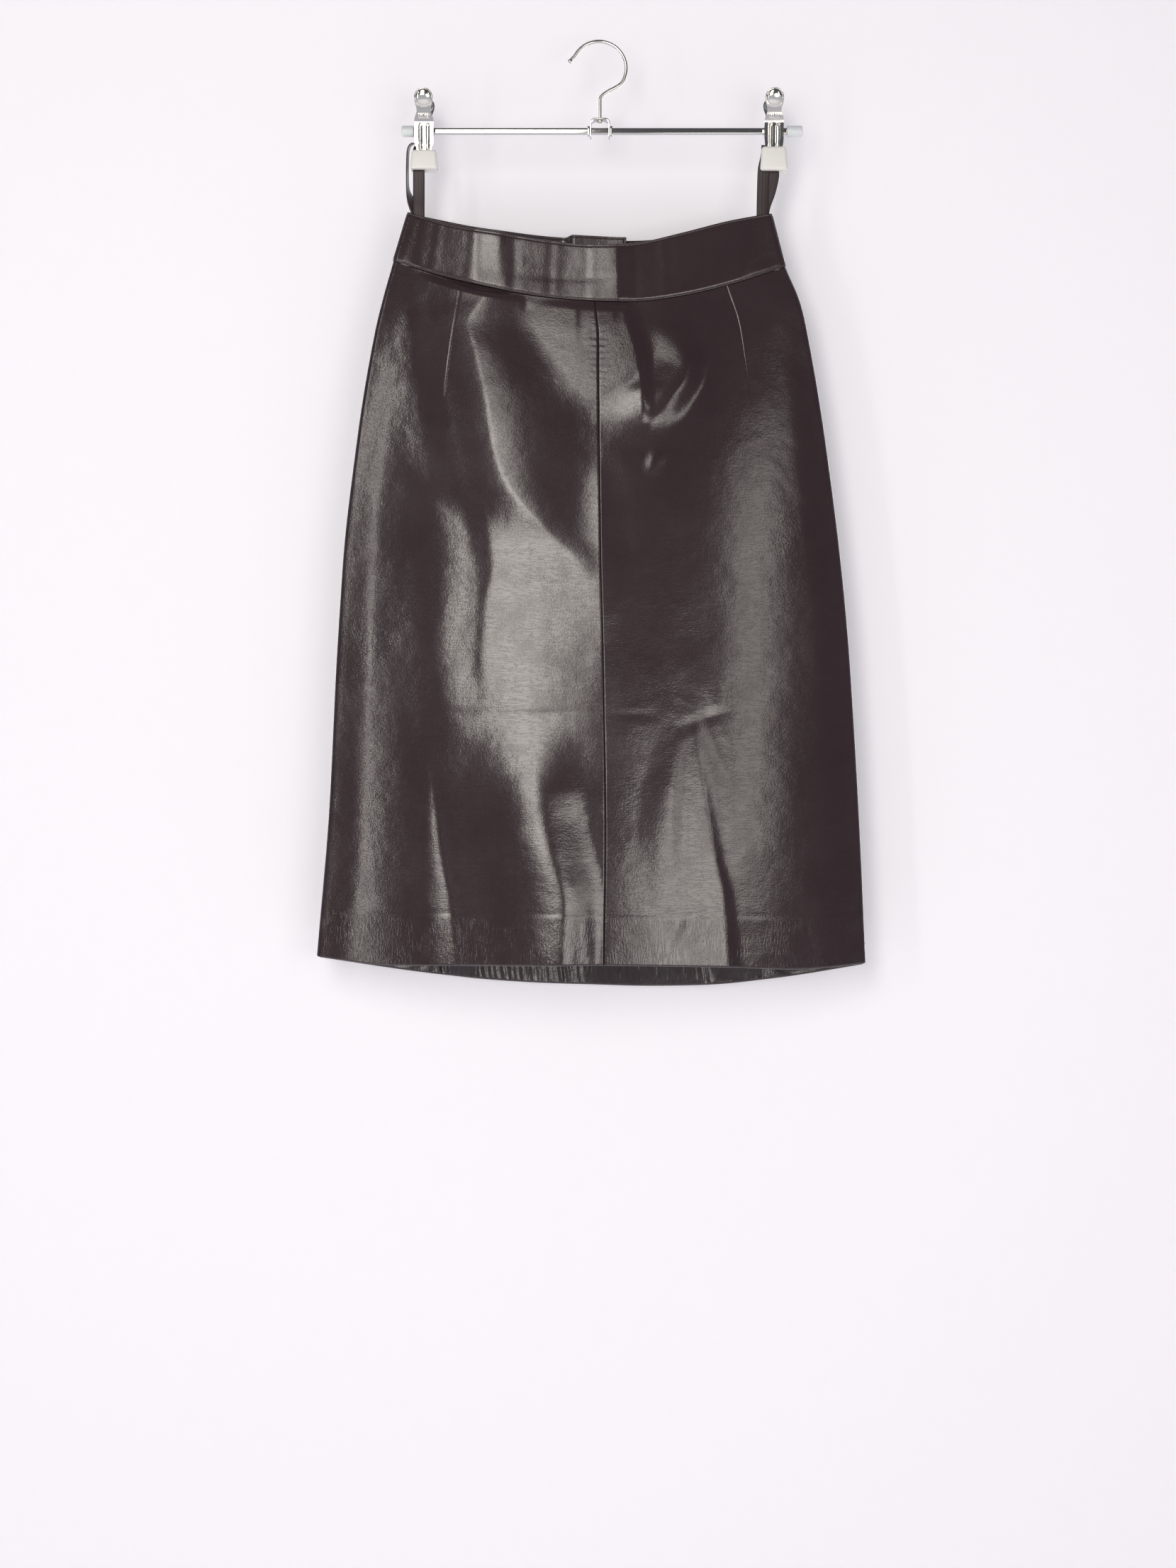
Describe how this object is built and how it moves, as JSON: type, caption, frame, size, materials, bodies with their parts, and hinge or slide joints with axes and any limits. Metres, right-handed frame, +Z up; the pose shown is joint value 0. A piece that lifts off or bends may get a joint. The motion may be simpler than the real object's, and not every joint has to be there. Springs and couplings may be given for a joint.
{
  "type": "leather skirt on a clip hanger",
  "caption": "Dark brown leather pencil skirt with waistband and back zip, hung by its waist ribbons from a metal clip hanger.",
  "frame": {"origin": "underside of the hanger's hook at its highest point, where a rail or peg carries it", "axes": "+Z up, -Y out of the front of the skirt, +X to the right as seen from the front"},
  "size_m": [0.4754, 0.0857, 0.8225],
  "materials": {
    "leather": "glossy, fine pebble grain",
    "satin": "satin ribbon",
    "zip_cloth": "woven zip tape",
    "dark_metal": "dark nickel",
    "chrome": "polished chrome plate",
    "spring_steel": "bright drawn wire",
    "tip_rubber": "matte cream-white rubber",
    "cap_plastic": "translucent white plastic"
  },
  "bodies": {
    "skirt": {"front_panel_left": "leather", "front_panel_right": "leather", "back_panel_left": "leather", "back_panel_right": "leather", "waistband_front": "leather", "waistband_back_left": "leather", "waistband_back_right": "leather", "zip_tape": "zip_cloth", "zip_slider": "dark_metal", "waist_hook": "dark_metal", "waist_bar": "dark_metal", "ribbon_left": "satin", "ribbon_right": "satin", "hook": "chrome", "saddle": "chrome", "bar": "chrome", "bar_stop_left": "chrome", "bar_stop_right": "chrome", "end_cap_left": "cap_plastic", "end_cap_right": "cap_plastic", "clip_left_front_plate": "chrome", "clip_left_front_tip": "tip_rubber", "clip_left_back_plate": "chrome", "clip_left_back_tip": "tip_rubber", "clip_left_spring": "spring_steel", "clip_right_front_plate": "chrome", "clip_right_front_tip": "tip_rubber", "clip_right_back_plate": "chrome", "clip_right_back_tip": "tip_rubber", "clip_right_spring": "spring_steel"},
    "zip_pull": {"zip_pull": "dark_metal"}
  },
  "joints": [
    {"name": "zip_pull_swing", "type": "hinge", "parent": "skirt", "child": "zip_pull", "pos_m": [-0.02335, 0.02016, -0.2256], "axis": [0.999, 0, 0.0455], "range_deg": [0, 165]}
  ]
}
